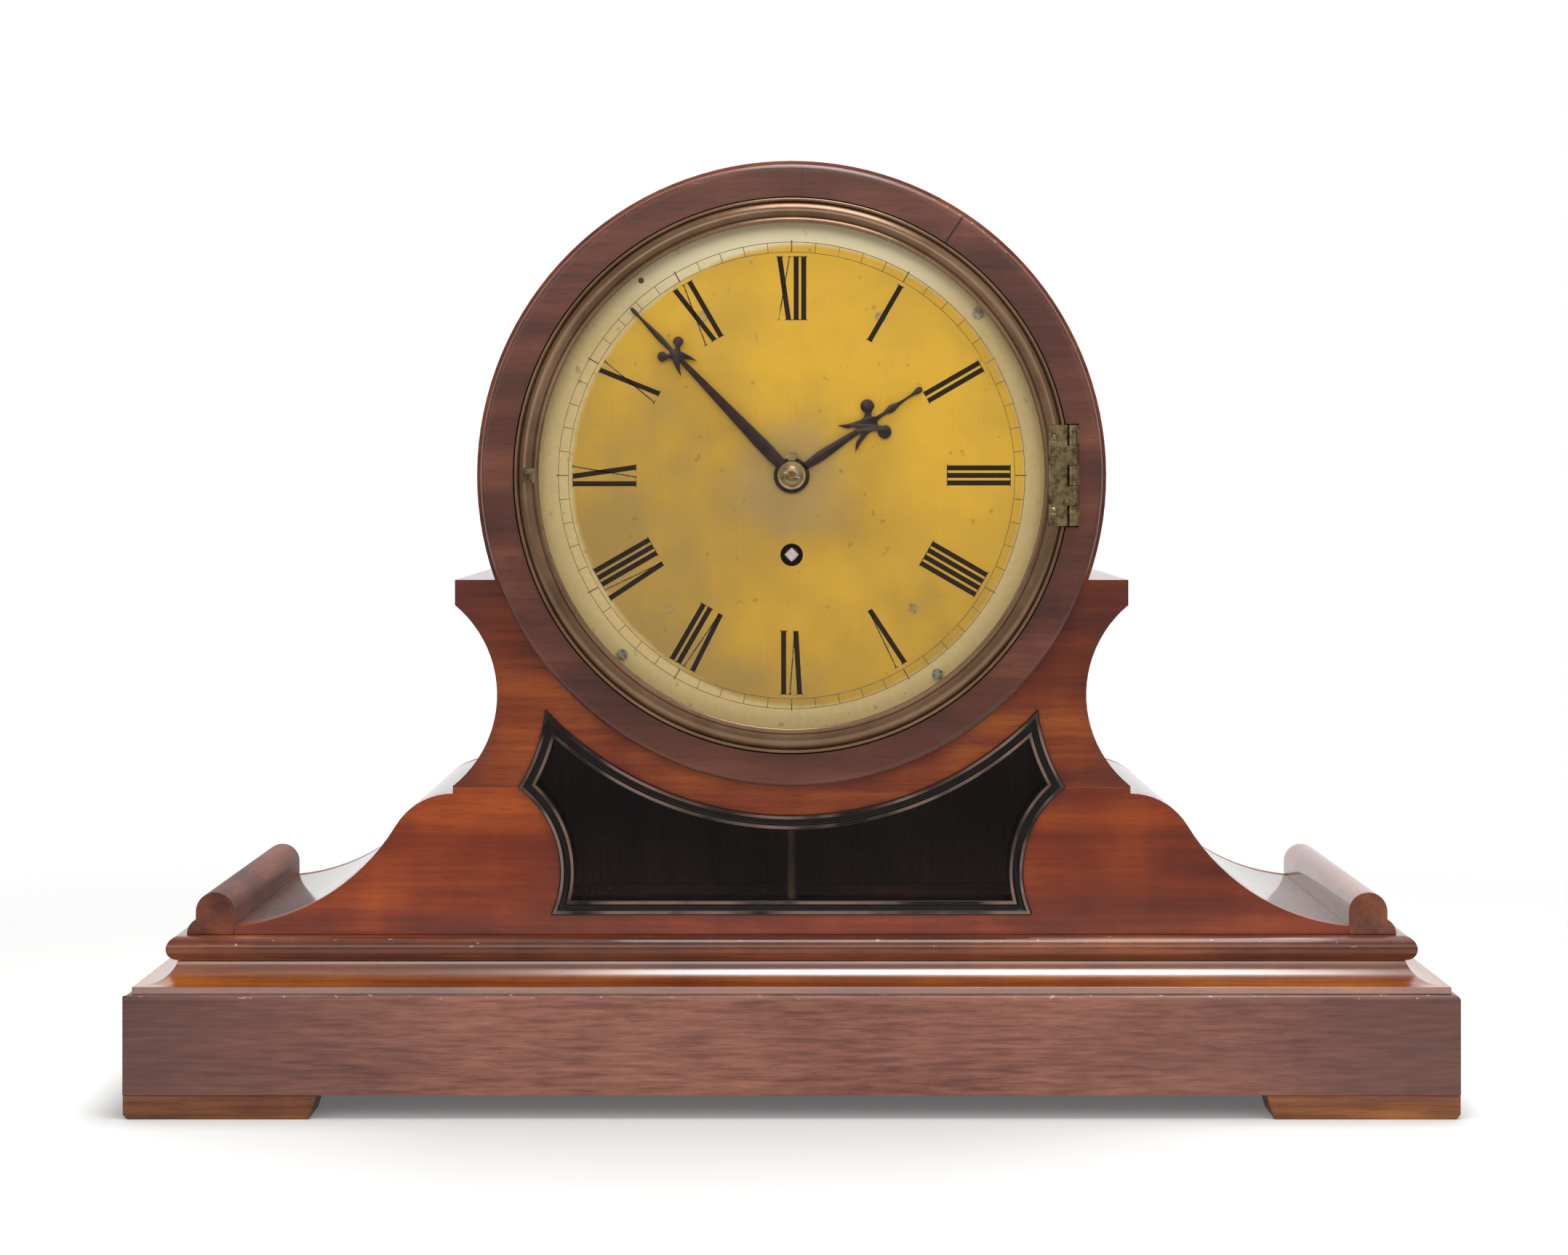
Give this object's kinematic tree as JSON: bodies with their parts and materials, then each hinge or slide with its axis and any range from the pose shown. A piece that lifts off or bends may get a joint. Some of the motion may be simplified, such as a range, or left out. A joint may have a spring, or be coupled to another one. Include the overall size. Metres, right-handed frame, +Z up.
{
  "type": "bracket clock",
  "caption": "Mantel clock with a round brass dial in a drum-shaped wooden head, swept shoulders, a small glazed window and a long moulded plinth on pad feet",
  "frame": {"origin": "on the ground, under the middle of the clock", "axes": "+X to the right as the dial is seen, +Y to the back, +Z up; the dial faces -Y"},
  "size_m": [0.606, 0.2318, 0.4363],
  "materials": {
    "mahogany": "french polished",
    "dark_mahogany": "french polished",
    "ebonised": "ebonised and polished",
    "clear_glass": "clear",
    "dial_brass": "satin, lacquered",
    "cast_brass": "worn lacquer",
    "movement_brass": "polished",
    "steel": "polished",
    "dark_steel": "browned",
    "gut": "twisted gut"
  },
  "bodies": {
    "case": {"base_board": "mahogany", "front_board_lower": "mahogany", "front_board_upper": "mahogany", "deck_right": "mahogany", "deck_left": "mahogany", "waist_side_right": "mahogany", "waist_side_left": "mahogany", "drum_shell": "mahogany", "roll_right": "mahogany", "roll_left": "mahogany", "back_board": "mahogany", "cavetto_moulding": "mahogany", "torus_moulding": "mahogany", "plinth_frame": "dark_mahogany", "feet": "dark_mahogany", "drum_surround": "dark_mahogany", "window_moulding": "ebonised", "window_glass": "clear_glass", "dial_plate": "dial_brass", "bezel_hinge_fixed": "cast_brass", "bezel_hinge_pin": "cast_brass", "door_hinge_fixed": "cast_brass", "front_plate": "movement_brass", "back_plate": "movement_brass", "pillars": "movement_brass", "back_cock": "movement_brass", "dial_foot_pins": "steel", "dial_screws": "steel", "pillar_pins": "steel", "barrel_arbor": "steel", "fusee_line": "gut"},
    "bezel_door": {"bezel": "cast_brass", "bezel_glass": "clear_glass", "bezel_hinge_leaf": "cast_brass"},
    "catch": {"bezel_catch": "cast_brass"},
    "rear_door": {"back_door": "mahogany", "door_hinge_leaves": "cast_brass", "door_knob": "cast_brass"},
    "minute": {"minute_hand": "dark_steel", "cannon_pinion": "movement_brass", "hand_collet": "cast_brass"},
    "minute_wheel": {"minute_wheel": "movement_brass"},
    "hour": {"hour_wheel": "movement_brass", "hour_hand": "dark_steel"},
    "centre": {"centre_wheel": "movement_brass", "hand_pin": "steel"},
    "third": {"third_wheel": "movement_brass"},
    "escape": {"escape_wheel": "movement_brass"},
    "great": {"great_wheel": "movement_brass"},
    "fusee": {"fusee": "movement_brass"},
    "barrel": {"spring_barrel": "movement_brass"},
    "pendulum": {"suspension_spring": "steel", "pendulum_rod": "dark_steel", "pendulum_bob": "movement_brass"},
    "anchor": {"anchor": "steel", "crutch": "steel"},
    "rating_nut": {"rating_nut": "movement_brass"},
    "click": {"click": "steel"},
    "stop_arm": {"stop_arm": "steel"}
  },
  "joints": [
    {"name": "bezel_hinge", "type": "hinge", "parent": "case", "child": "bezel_door", "pos_m": [0.1284, -0.1019, 0.2915], "axis": [0, 0, 1], "range_deg": [0, 110]},
    {"name": "bezel_catch", "type": "slide", "parent": "bezel_door", "child": "catch", "axis": [1, 0, 0], "range_m": [0, 0.001], "stiffness_N_per_m": 200},
    {"name": "back_door_hinge", "type": "hinge", "parent": "case", "child": "rear_door", "pos_m": [0.08965, 0.1111, 0.2], "axis": [0, 0, -1], "range_deg": [0, 110]},
    {"name": "hand_setting", "type": "hinge", "parent": "case", "child": "minute", "pos_m": [0, -0.095, 0.2915], "axis": [0, 1, 0], "continuous": true},
    {"name": "minute_wheel_turn", "type": "hinge", "parent": "case", "child": "minute_wheel", "pos_m": [0.024, -0.083, 0.2915], "axis": [0, 1, 0], "continuous": true},
    {"name": "hour_hand_turn", "type": "hinge", "parent": "case", "child": "hour", "pos_m": [0, -0.09, 0.2915], "axis": [0, 1, 0], "continuous": true},
    {"name": "going_train", "type": "hinge", "parent": "case", "child": "centre", "pos_m": [0, -0.05, 0.2915], "axis": [0, 1, 0], "continuous": true},
    {"name": "third_wheel_turn", "type": "hinge", "parent": "case", "child": "third", "pos_m": [-0.016, -0.05, 0.31116], "axis": [0, 1, 0], "continuous": true},
    {"name": "escape_wheel_turn", "type": "hinge", "parent": "case", "child": "escape", "pos_m": [0, -0.04, 0.32065], "axis": [0, 1, 0], "continuous": true},
    {"name": "great_wheel_turn", "type": "hinge", "parent": "case", "child": "great", "pos_m": [0, -0.035, 0.255], "axis": [0, 1, 0], "continuous": true},
    {"name": "winding", "type": "hinge", "parent": "great", "child": "fusee", "pos_m": [0, -0.06, 0.255], "axis": [0, 1, 0], "continuous": true},
    {"name": "barrel_turn", "type": "hinge", "parent": "case", "child": "barrel", "pos_m": [-0.055, -0.055, 0.2695], "axis": [0, 1, 0], "continuous": true},
    {"name": "pendulum_swing", "type": "hinge", "parent": "case", "child": "pendulum", "pos_m": [0, -0.0161, 0.34186], "axis": [0, 1, 0], "range_deg": [-2.5, 2.5]},
    {"name": "anchor_rock", "type": "hinge", "parent": "case", "child": "anchor", "pos_m": [0, -0.041, 0.34186], "axis": [0, 1, 0], "range_deg": [-2.5, 2.5]},
    {"name": "rating_nut_turn", "type": "hinge", "parent": "pendulum", "child": "rating_nut", "pos_m": [0, -0.0161, 0.028], "axis": [0, 0, 1], "continuous": true},
    {"name": "click_lift", "type": "hinge", "parent": "case", "child": "click", "pos_m": [-0.0435, -0.0815, 0.2825], "axis": [0, 1, 0], "range_deg": [0, 10], "stiffness_Nm_per_rad": 0.01},
    {"name": "stop_arm_lift", "type": "hinge", "parent": "case", "child": "stop_arm", "pos_m": [0.027, -0.07, 0.2375], "axis": [0, 1, 0], "range_deg": [0, 6], "stiffness_Nm_per_rad": 0.05}
  ],
  "couplings": [
    {"joint": "minute_wheel_turn", "follows": "hand_setting", "ratio": -1},
    {"joint": "hour_hand_turn", "follows": "hand_setting", "ratio": 0.083333},
    {"joint": "third_wheel_turn", "follows": "going_train", "ratio": -12},
    {"joint": "escape_wheel_turn", "follows": "going_train", "ratio": 112},
    {"joint": "great_wheel_turn", "follows": "going_train", "ratio": -0.083333},
    {"joint": "barrel_turn", "follows": "winding", "ratio": 0.62},
    {"joint": "anchor_rock", "follows": "pendulum_swing", "ratio": 1}
  ]
}
